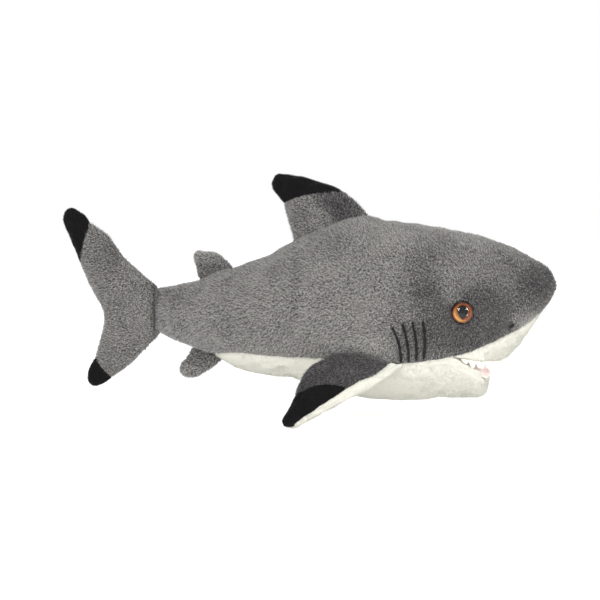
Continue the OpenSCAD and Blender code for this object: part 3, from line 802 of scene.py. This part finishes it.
def gill_line(gill, count, side, lift):
    """Points down one gill line, and the outward ways there."""
    a, b, c = (np.array(p, float) for p in gill)
    t = np.linspace(0, 1, count)[:, None]
    flat = a * (1 - t) ** 2 + (2 * b - (a + c) / 2) * 2 * t * (1 - t) + c * t**2
    spots = [side_spot(p, side, lift) for p in flat]
    return np.array([p for p, _ in spots]), np.array([n for _, n in spots])


def nearest(points, marks):
    """Distance from each point to the nearest mark."""
    best = np.full(points.shape[:-1], 1e9)
    for mark in marks:
        best = np.minimum(best, length_of(points - mark))
    return best


def lip_roll_at(x):
    """Radius at which the cloth rolls inward along the lips, none behind the mouth."""
    return 0.05 + LIP_ROLL * smooth((x - 108) / 12)


def make_side(name, side):
    k = np.linspace(0, LAST, 330)
    end = seam_turn(k)
    skin = Skin(body, k, 0 if side > 0 else 2, end if side > 0 else 2 - end, 76, "ijJ")
    eye, _ = side_spot(EYE_AT, side)
    nostril, _ = side_spot(NOSTRIL_AT, side)
    stitches = np.concatenate([gill_line(g, 14, side, 0)[0] for g in GILLS])
    # The eye, the nostril and the stitches draw the cloth in, by so much and over such a reach
    for marks, depth, reach, power in (([eye], 1.2, 11, 4), ([nostril], 0.9, 3, 2), (stitches, 0.8, 1.8, 2)):
        skin.sink(depth * np.exp(-(nearest(skin.p, marks) / reach) ** power))
    skin.settle("grey")
    ride_body(make_skin(f"side_skin_{name}", [skin], "grey",
                        [f"side_panel_{name}"] + (["body_stuffing"] if side > 0 else [])))

    def keep(root):
        clear = (nearest(root, [eye]) > EYE_R + EYE_BARE) & (nearest(root, stitches) > GILL_BARE)
        return clear & (root[:, 0] < NOSE_BARE) & (nearest(root, [nostril]) > NOSTRIL_BARE)

    pile(f"side_pile_{name}", [skin], "grey", 31 + side, ride_body, keep=keep, tone=nap_sheen_and_shade)


def jaw_height(x):
    """Height of the lower jaw's edge, where the belly panel starts to roll inward."""
    return line_z(x, MOUTH_CORNER, JAW_LIP) - lip_roll_at(x)


def make_belly():
    s = np.linspace(*JAW_ROWS, 2000)
    rows = at(BODY, s)
    last_row = s[np.argmax(rows[:, 2] > jaw_height(rows[:, 0]))]
    # The rows lie closer together towards the jaw
    share = np.linspace(0, 1, 300)
    share = 0.5 * share + 0.5 * np.sin(share * math.pi / 2)
    k = BELLY_FROM + (last_row - 0.002 - BELLY_FROM) * share
    rows = at(BODY, k)
    x = rows[:, 0]
    start = turn_at(k, np.minimum(np.maximum(rows[:, 4], rows[:, 2]), jaw_height(x)))
    skin = Skin(body, k, start, 2 - start, 90, "jJ", depth=1.4)
    skin.settle("white", 0.2)
    skin.roll(lip_roll_at(x), True)
    skin.roll(lip_roll_at(x), False)
    ride_body(make_skin("belly_skin", [skin], "white", ["belly_panel"]))
    pile("belly_pile", [skin], "white", 41, ride_body)


def make_snout():
    skins = []
    for side in (1, -1):
        k = np.linspace(row_at(110), SNOUT_TO, 260)
        x, seam = at(BODY, k)[:, 0], seam_turn(k)
        lip = line_z(x, MOUTH_CORNER, UPPER_LIP) + lip_roll_at(x)
        low = np.maximum(turn_at(k, lip), seam)
        start, end = (seam, low) if side > 0 else (2 - seam, 2 - low)
        skin = Skin(body, k, start, end, 44, "j", depth=1.4)
        skin.settle("white", 0.2)
        # The roll dies out where the two halves meet in the middle
        skin.roll(np.maximum(lip_roll_at(x) * smooth((1 - low) / 0.1), 0.001), True)
        skins.append(skin)
    ride_body(make_skin("snout_skin", skins, "white", ["snout_underside"]))
    pile("snout_pile", skins, "white", 43, ride_body)


# ---- fins ----


class Bend:
    """Settles a fin's piece by baking its transform into its mesh."""

    def __init__(self, fin, start, end):
        self.fin, self.start, self.end = fin, metres(start), metres(end)

    def __call__(self, ob):
        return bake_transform(ob)


def make_face(name, kind, form, k, turns, bend, replaced, seed, seams="jJ", columns=44,
              bows=(0, 0), nap=(-1, 0, 0), tone=None, bare=0.0):
    """One face of a fin with its pile, which leaves the rows before bare without any."""
    skin = Skin(form, k, *turns, columns, seams, depth=0.7, width=1.6, bows=bows)
    skin.settle(kind, 0.15)
    bend(make_skin(f"{name}_skin", [skin], kind, replaced))
    pile(f"{name}_pile", [skin.part(bare)], kind, seed, bend, nap=nap, tone=tone)


def fin_tone(dark_by):
    """Random tone for a fin, darker by an amount that may depend on the place, which is painted shade where
    it darkens a front edge, a crease or a root.
    """
    def tone(p):
        return 0.35 * noise(p, 14, 5) + 0.25 * noise(p, 5, 6) + dark_by(p)
    return tone


def make_upright(name, form, tip_from, bend, seed, tone, nap, face_node, inner_nodes):
    """A fin that stands in the middle plane, with a face on each side and perhaps a black tip."""
    bow = 0.3 if tip_from else 0
    for side_name, side in SIDES.items():
        turns = (0, 1) if side > 0 else (2, 1)
        replaced = [f"{face_node}_{side_name}"]
        if side > 0:
            replaced += [f"{inner_nodes}_stuffing", f"{inner_nodes}_root_seam"]
        make_face(f"{name}_{side_name}", "grey", form, np.linspace(0, tip_from or form.last, 56), turns, bend,
                  replaced, seed + side, "jJI" if tip_from else "jJ", bows=(0, bow), nap=nap, tone=tone,
                  bare=0.2)
        if tip_from:
            make_face(f"{name}_tip_{side_name}", "black", form, np.linspace(tip_from, form.last, 50), turns,
                      bend, [f"{name}_tip_{side_name}"], seed + 5 + side, "jJi", bows=(bow, 0), nap=nap)


def make_tail():
    bend = Bend("tail", [-112, 0, 66], [-125, 0, 66])
    parts = [
        ("tail_upper_tip", "black", np.linspace(0, 3, 44), "jJI"),
        ("tail_fin", "grey", np.linspace(3, 11, 120), "jiI"),
        ("tail_lower_tip", "black", np.linspace(11, 13, 44), "jJi"),
    ]
    for side_name, side in SIDES.items():
        # The front edge is open there, and turn 1 itself belongs to the right side
        turns = (0, 0.9999) if side > 0 else (2, 1)
        for at_part, (name, kind, rows, seams) in enumerate(parts):
            replaced = [f"{name}_{side_name}"]
            if side > 0 and kind == "grey":
                replaced += ["tail_stuffing", "tail_root_seam"]
            make_face(f"{name}_{side_name}", kind, tail, rows, turns, bend, replaced,
                      70 + 7 * at_part + side, seams, columns=52,
                      tone=fin_tone(tail_darkening_and_crease_shade) if kind == "grey" else None)


def tail_darkening_and_crease_shade(p):
    """The whole tail a little darker, a darker patch at the front of the upper lobe, and painted shade along
    the crease against the body.
    """
    x, z = p[..., 0], p[..., 2]
    # Painted shade in a thin band along the crease
    crease = np.exp(-(((x + 115.3) / 1.2) ** 2))
    return -0.9 * np.exp(-(((x + 150) / 12) ** 2) - ((z - 108) / 16) ** 2) - 0.45 - 2.0 * crease


def dorsal_front_shade(p):
    """The fin a little darker overall, and painted shade darkening its front edge."""
    front = smooth((p[..., 0] - 0.9 * (155 - p[..., 2]) + 4) / 12)
    return -0.5 - 1.8 * front


def make_pectoral(side_name, side):
    form = pectorals[side_name]
    place = pectoral_place(side)
    bend = Bend(f"pectoral_fin_{side_name}", *place(np.array([[20.0, 0, 0], [20.0, 0, 10]])))
    rows = np.array(PECTORAL, float)

    def wrap(k):
        """Turn at which the grey cloth ends and the white begins near the front edge."""
        r = at(rows, k)
        over = np.interp(k, np.arange(len(WRAP)), WRAP)
        return 1 - np.minimum(over / length_of(r[:, 2:] - r[:, :2]), 0.3)

    out = place(np.array([[0.0, 0, 1], [0.0, 0, 0]]))
    nap = out[0] - out[1] + np.array([-0.6, 0, 0])
    tip_from, bow = 5, -0.55
    k = np.linspace(0, tip_from, 64)
    make_face(f"pectoral_top_{side_name}", "grey", form, k, (REAR_WRAP, wrap(k)), bend,
              [f"pectoral_{part}_{side_name}" for part in ("top", "stuffing", "root_seam")],
              101 + side, "jJI", bows=(0, bow), nap=nap, tone=fin_tone(lambda p: -2.7), bare=0.1)
    k = np.linspace(tip_from, form.last, 60)
    make_face(f"pectoral_tip_{side_name}", "black", form, k, (REAR_WRAP, wrap(k)), bend,
              [f"pectoral_tip_{side_name}"], 111 + side, "jJi", bows=(bow, 0), nap=nap)
    k = np.linspace(0, form.last, 110)
    make_face(f"pectoral_underside_{side_name}", "white", form, k, (wrap(k), 2 + REAR_WRAP), bend,
              [f"pectoral_underside_{side_name}"], 121 + side, nap=nap, bare=0.1)


# ---- mouth ----


def cheek(x, z):
    """Half width of the mouth at x and height z, inside the rolled lip."""
    k = row_at(x)
    return np.maximum(body_point(k, turn_at(k, z))[..., 1] - 2 * LIP_ROLL - 0.4, 0.3)


def make_lining(name, back, front, line, lift, bulge, replaced, steps=40, thick=0.9):
    """Pink lining from the mouth's corner to the lip, whose edges turn towards the lip."""
    x = np.linspace(back, front, steps)[:, None]
    z = line_z(x, *line)
    t = np.linspace(-1, 1, steps)[None, :]
    half = cheek(x, z)
    depth = lift + bulge * (1 - t**2) * smooth((front - x) / 8)
    p = np.stack(np.broadcast_arrays(x, half * t, z + depth), -1)
    p = p + 0.35 * noise(p, 5, 51)[..., None] * [0, 0, 1]
    points, faces = thickened(p, p - [0, 0, math.copysign(thick, -lift)])
    ob = mesh_object(name, points, outward(points, faces), [PINK_LINING])
    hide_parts(replaced)
    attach(ob, "root")


def make_teeth(teeth=19, per_tooth=10, down=9, length=6.0, notch=1.6, thick=1.6):
    """Notched felt strip sewn inside the upper lip, from one corner round the front to the other."""
    x = np.linspace(121, 150.5, 400)
    k = row_at(x)
    z = line_z(x, MOUTH_CORNER, UPPER_LIP)
    half = body_point(k, turn_at(k, z))
    left = half[turn_at(k, z) < 0.995]
    line = np.concatenate([left, (left * [1, -1, 1])[::-1]])
    run = np.concatenate([[0], np.cumsum(length_of(np.diff(line, axis=0)))])
    share = np.linspace(0, 1, teeth * per_tooth + 1)
    rim = np.stack([np.interp(share * run[-1], run, line[:, i]) for i in range(3)], 1)
    way = np.gradient(rim, axis=0)
    inward = unit(np.stack([way[:, 1], -way[:, 0], 0 * way[:, 0]], 1))
    rng = np.random.default_rng(61)
    phase = share * teeth
    uneven = rng.uniform(0.85, 1.1, teeth + 1)[np.minimum(phase.astype(int), teeth)]
    peak = 1 - np.abs(2 * (phase % 1) - 1) ** 2.2
    grown = 0.35 + 0.65 * smooth((rim[:, 0] - 119) / 12)
    deep = (notch + (length - notch) * peak * uneven) * grown
    t = np.linspace(0, 1, down)
    front = rim[:, None] + inward[:, None] * (2.6 + 0.5 * t[None, :, None] ** 2)
    front = front - np.array([0, 0, 1.0]) * (deep[:, None] * t)[..., None] + [0, 0, 0.8]
    back = front + inward[:, None] * thick * (1 - 0.5 * t[None, :, None] ** 3)
    points, faces = thickened(front, back)
    ob = mesh_object("felt_teeth", points, outward(points, faces), [FELT])
    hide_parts("upper_teeth")
    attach(ob, "root")


# ---- embroidery ----


def capsule(a, b, radius, around=8, along=6):
    """A round-ended strand from a to b, as points and faces."""
    a, b = np.asarray(a, float), np.asarray(b, float)
    way = unit(b - a)
    side = unit(np.cross(way, [0.31, 0.27, 0.91]))
    other = np.cross(way, side)
    t = np.linspace(0, 1, along)[:, None]
    wide = radius * np.sqrt(np.clip(1 - np.abs(2 * t - 1) ** 4, 0.02, 1))
    turn = np.arange(around) * 2 * math.pi / around
    ring = np.cos(turn)[:, None] * side + np.sin(turn)[:, None] * other
    p = (a + (b - a) * t)[:, None] + wide[..., None] * ring
    faces = quads(along, around, True).tolist() + end_caps(along, around)
    return np.concatenate([p.reshape(-1, 3), [a, b]]), faces


def strands(name, pairs, radius, replaced):
    """One object of many short threads."""
    ob = mesh_object(name, *joined([capsule(a, b, radius) for a, b in pairs]), [THREAD])
    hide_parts(replaced)
    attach(ob, "root")


def make_gills(side_name, side, stitches=20, reach=1.05, lift=0.3):
    pairs = []
    rng = np.random.default_rng(71 + side)
    for gill in GILLS:
        p, n = gill_line(gill, stitches, side, lift)
        way = np.gradient(p, axis=0)
        across = unit(np.cross(way, n))
        for i in range(stitches):
            slant = 0.55 * way[i] + rng.normal(0, 0.08, 3)
            width = reach * rng.uniform(0.8, 1.15)
            pairs.append((p[i] - across[i] * width - slant, p[i] + across[i] * width + slant))
    strands(f"gill_threads_{side_name}", pairs, 0.65, f"gill_stitches_{side_name}")


def make_nostril(side_name, side, stitches=9):
    p, n = side_spot(NOSTRIL_AT, side, 1.1)
    along = np.array([1, 0, 0.35])
    along = unit(along - along.dot(n) * n)
    up = np.cross(n, along) * side
    pairs = []
    for i in range(stitches):
        t = 2 * i / (stitches - 1) - 1
        half = 1.5 * math.sqrt(1.05 - t * t)
        middle = p + along * t * 2.3 + n * 0.35 * (1 - t * t)
        pairs.append((middle - up * half, middle + up * half))
    strands(f"nostril_threads_{side_name}", pairs, 0.5, f"nostril_stitches_{side_name}")


# ---- eyes ----


def turned(profile, steps):
    """Points of [radius, height] pairs turned about Z."""
    radius, height = np.asarray(profile, float).T[..., None]
    turn = np.arange(steps) * 2 * math.pi / steps
    p = np.broadcast_arrays(radius * np.cos(turn), radius * np.sin(turn), height)
    return np.stack(p, -1).reshape(-1, 3)


def revolve(name, profile, place, look, steps=64):
    """Closed turned shape from [radius, height] points, with place taking it to the eye."""
    p = place(turned(profile, steps))
    return mesh_object(name, p, outward(p, quads(len(profile), steps, True)), [look])


def arc(radius, height, rim, count=16):
    """Dome profile from its rim up to the middle."""
    ball = (radius * radius + height * height) / (2 * height)
    most = math.asin(radius / ball)
    angles = np.linspace(most, 0.004, count)
    return [[ball * math.sin(a), rim + height - ball * (1 - math.cos(a))] for a in angles]


def iris_material(name, middle, painted_glow_way):
    """Amber plastic that is dark at the rim, with a painted glow of light gathering low at the back."""
    m = material(name, srgb(190, 96, 24), 0.5, Specular_IOR_Level=0.1)
    link = m.node_tree.links.new
    where = node(m, "ShaderNodeTexCoord")
    away = maths(m, "SUBTRACT", metres(middle), "ShaderNodeVectorMath")
    far = maths(m, "LENGTH", kind="ShaderNodeVectorMath")
    scale = maths(m, "MULTIPLY", 1 / (EYE_R * MM))
    facing = maths(m, "DOT_PRODUCT", np.asarray(painted_glow_way, float) / (EYE_R * MM), "ShaderNodeVectorMath")
    painted_glow = node(m, "ShaderNodeMapRange", From_Min=0.15, From_Max=0.7)
    # Plain iris colours and a painted lit copy, mixed by the painted glow
    plain = ramp(m, (0.4, srgb(110, 46, 12)), (0.56, srgb(150, 70, 20)), (0.71, srgb(172, 88, 28)),
                 (0.82, srgb(96, 44, 16)), (0.92, srgb(24, 11, 6)))
    painted_lit = ramp(m, (0.45, srgb(200, 112, 34)), (0.7, srgb(255, 194, 92)), (0.84, srgb(168, 84, 28)),
               (0.94, srgb(34, 15, 7)))
    mix = node(m, "ShaderNodeMix", data_type="RGBA")
    picks = [s for s in mix.inputs if s.type == "RGBA"]
    mixed = [s for s in mix.outputs if s.type == "RGBA"][0]
    link(where.outputs["Object"], away.inputs[0])
    link(away.outputs[0], far.inputs[0])
    link(far.outputs["Value"], scale.inputs[0])
    link(scale.outputs[0], plain.inputs["Fac"])
    link(scale.outputs[0], painted_lit.inputs["Fac"])
    link(away.outputs[0], facing.inputs[0])
    link(facing.outputs["Value"], painted_glow.inputs["Value"])
    link(painted_glow.outputs[0], mix.inputs[0])
    link(plain.outputs["Color"], picks[0])
    link(painted_lit.outputs["Color"], picks[1])
    link(mixed, m.node_tree.nodes["Principled BSDF"].inputs["Base Color"])
    return m


def make_eye(side_name, side):
    middle, n = side_spot(EYE_AT, side, -0.6)
    up = unit(np.array([0, 0, 1.0]) - n[2] * n)
    along = np.cross(up, n) * -side
    forward = along if along[0] > 0 else -along

    def place(p):
        return middle + p[:, :1] * forward + p[:, 1:2] * up + p[:, 2:] * n

    # Way towards the painted glow, low and to the back
    painted_glow = -0.75 * forward - 0.65 * up
    bowl = [[r, 1.1 - 0.5 * (1 - (r / 7.6) ** 2)] for r in np.linspace(7.6, 0.02, 14)]
    iris = revolve(f"eye_iris_{side_name}", [[0.02, -0.4], [8.2, -0.4], [8.3, 1.5], [8.15, 1.95],
                   [7.95, 1.9], [7.75, 1.3], *bowl], place,
                   iris_material(f"amber_{side_name}", place(np.array([[0, 0, 0.9]]))[0], painted_glow))
    dome = revolve(f"eye_dome_{side_name}", [[0.02, 0.55], [7.4, 0.9], [8.05, 1.3],
                   *arc(8.1, 3.3, 1.7, 24)], place, CLEAR)
    pupil = make_pupil(f"eye_pupil_{side_name}", place)
    for ob, cad in ((iris, "iris"), (dome, "dome"), (pupil, "pupil")):
        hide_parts(f"eye_{cad}_{side_name}")
        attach(ob, "root")


def make_pupil(name, place, steps=48, rings=8, half=3.6, above=3.6, below=6.1):
    """Upright drop, round above and pointed below, with a soft edge."""
    turn = np.linspace(0, 2 * math.pi, steps, endpoint=False)
    x = half * np.sin(turn) * np.where(np.cos(turn) < 0, (1 + np.cos(turn)) ** 0.3, 1)
    y = np.where(np.cos(turn) > 0, above, below) * np.cos(turn) + 1.3
    t = np.linspace(1, 0.02, rings)[:, None]
    p = np.stack([x * t, (y - 1) * t + 1, 0.85 + 0.5 * np.sqrt(1 - t**2 * np.ones(steps))], -1)
    bottom = p[:1] * [1, 1, 0] + [0, 0, 0.3]
    p = np.concatenate([bottom * [0.02, 0.02, 1], bottom, p])
    faces = quads(len(p), steps, True)
    p = place(p.reshape(-1, 3))
    return mesh_object(name, p, outward(p, faces), [GLOSS_BLACK])


CLEAR = speckled("clear_plastic", (1, 1, 1, 1), (0.97, 0.97, 0.96, 1), 300, 0.03, 0.02, 0.00001,
                 Transmission_Weight=1.0, IOR=1.46)
GLOSS_BLACK = speckled("pupil_black", srgb(4, 4, 4), srgb(9, 8, 8), 900, 0.3, 0.05, 0.00005,
                       Specular_IOR_Level=0.1)
SHANK_LOOK = speckled("shank_plastic", srgb(28, 27, 28), srgb(52, 50, 50), 800, 0.4, 0.3, 0.0001)
WASHER_LOOK = speckled("washer_plastic", srgb(205, 205, 198), srgb(226, 226, 220), 800, 0.45, 0.3, 0.0001)


# ---- making everything ----

for side_name, side in SIDES.items():
    make_side(side_name, side)
make_belly()
make_snout()
make_upright("dorsal", dorsal, 3, Bend("dorsal_fin", [14, 0, 130], [12, 0, 142]), 50,
             fin_tone(dorsal_front_shade), (-0.7, 0, 0.6), "dorsal_fin", "dorsal")
make_upright("second_dorsal", second_dorsal, None,
             Bend("second_dorsal_fin", [-72, 0, 94], [-74, 0, 102]), 60,
             # Painted shade, darker towards the root
             fin_tone(lambda p: -1.3 * smooth((103 - p[..., 2]) / 6)), (-0.8, 0, 0.3),
             "second_dorsal", "second_dorsal")
make_upright("anal", anal_fin, None, Bend("anal_fin", [-78, 0, 30], [-80, 0, 22]), 64,
             # Painted shade, darker towards the root
             fin_tone(lambda p: -1.0 * smooth((p[..., 2] - 21) / 5)), (-0.9, 0, -0.3),
             "anal_fin", "anal_fin")
make_tail()
for side_name, side in SIDES.items():
    make_pectoral(side_name, side)
    make_gills(side_name, side)
    make_nostril(side_name, side)
    make_eye(side_name, side)
    for piece, look in (("shank", SHANK_LOOK), ("washer", WASHER_LOOK)):
        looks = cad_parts[f"eye_{piece}_{side_name}"].data.materials
        looks.clear()
        looks.append(look)
make_lining("mouth_roof_lining", 114.5, 146, (MOUTH_CORNER, UPPER_LIP), 1.0, -1.5, "mouth_roof")
make_lining("mouth_floor_lining", 114.5, 137.5, (MOUTH_CORNER, JAW_LIP), -0.7, 4.5, "mouth_floor")
make_teeth()


# ---- stage, light and camera ----


def make_stage(steps=96, gap=0.3):
    """Pale round floor, wide enough to run out of the picture."""
    rings = [[metre / MM, -BELLY_LIFT - gap] for metre in (1e-6, 0.6, 1.5, 4.0)]
    floor = mesh_object("floor", turned(rings, steps), quads(len(rings), steps, True)[:, ::-1],
                        [material("floor_white", (0.8, 0.8, 0.8, 1), 0.9, Specular_IOR_Level=0.0,
                                  Emission_Color=(1, 1, 1, 1), Emission_Strength=0.55)])


def lamp(name, place, target, size, power):
    data = bpy.data.lights.new(name, "AREA")
    data.shape, data.size, data.energy = "DISK", size, power
    ob = in_scene(name, data)
    ob.location = place
    ob.rotation_euler = (Vector(target) - Vector(place)).to_track_quat("-Z", "Y").to_euler()


def make_lights():
    world = bpy.data.worlds.new("studio")
    world.use_nodes = True
    sky = world.node_tree.nodes["Background"].inputs
    sky["Color"].default_value = (1, 1, 1, 1)
    # Bright behind the shark and dim in front of it, so that the eyes stay dark
    way = node(world, "ShaderNodeTexCoord")
    split = node(world, "ShaderNodeSeparateXYZ")
    level = node(world, "ShaderNodeMapRange", From_Min=-0.4, From_Max=0.6, To_Min=0.65, To_Max=1.0)
    link = world.node_tree.links.new
    link(way.outputs["Generated"], split.inputs[0])
    link(split.outputs["Y"], level.inputs["Value"])
    link(level.outputs[0], sky["Strength"])
    bpy.context.scene.world = world
    middle = (0, 0, 0.09)
    lamp("left_box", (-0.14, -1.4, 0.7), middle, 0.45, 8.5)
    lamp("right_box", (1.25, -0.85, 0.7), middle, 0.45, 8.5)
    lamp("top", (-0.1, 0.2, 1.6), middle, 1.2, 5)


def make_camera(azimuth=9.0, elevation=3.5, distance=1.6, focal=128.0):
    data = bpy.data.cameras.new("camera")
    data.sensor_width, data.lens = 36, focal
    data.clip_start, data.clip_end = 0.05, 20
    ob = in_scene("camera", data)
    a, e = math.radians(azimuth), math.radians(elevation)
    target = Vector((-0.0046, 0, 0.0725 + BELLY_LIFT * MM))
    way = Vector((math.sin(a) * math.cos(e), -math.cos(a) * math.cos(e), math.sin(e)))
    ob.location = target + way * distance
    ob.rotation_euler = (-way).to_track_quat("-Z", "Y").to_euler()
    bpy.context.scene.camera = ob


make_stage()
make_lights()
make_camera()
bpy.context.scene.view_settings.view_transform = "Standard"
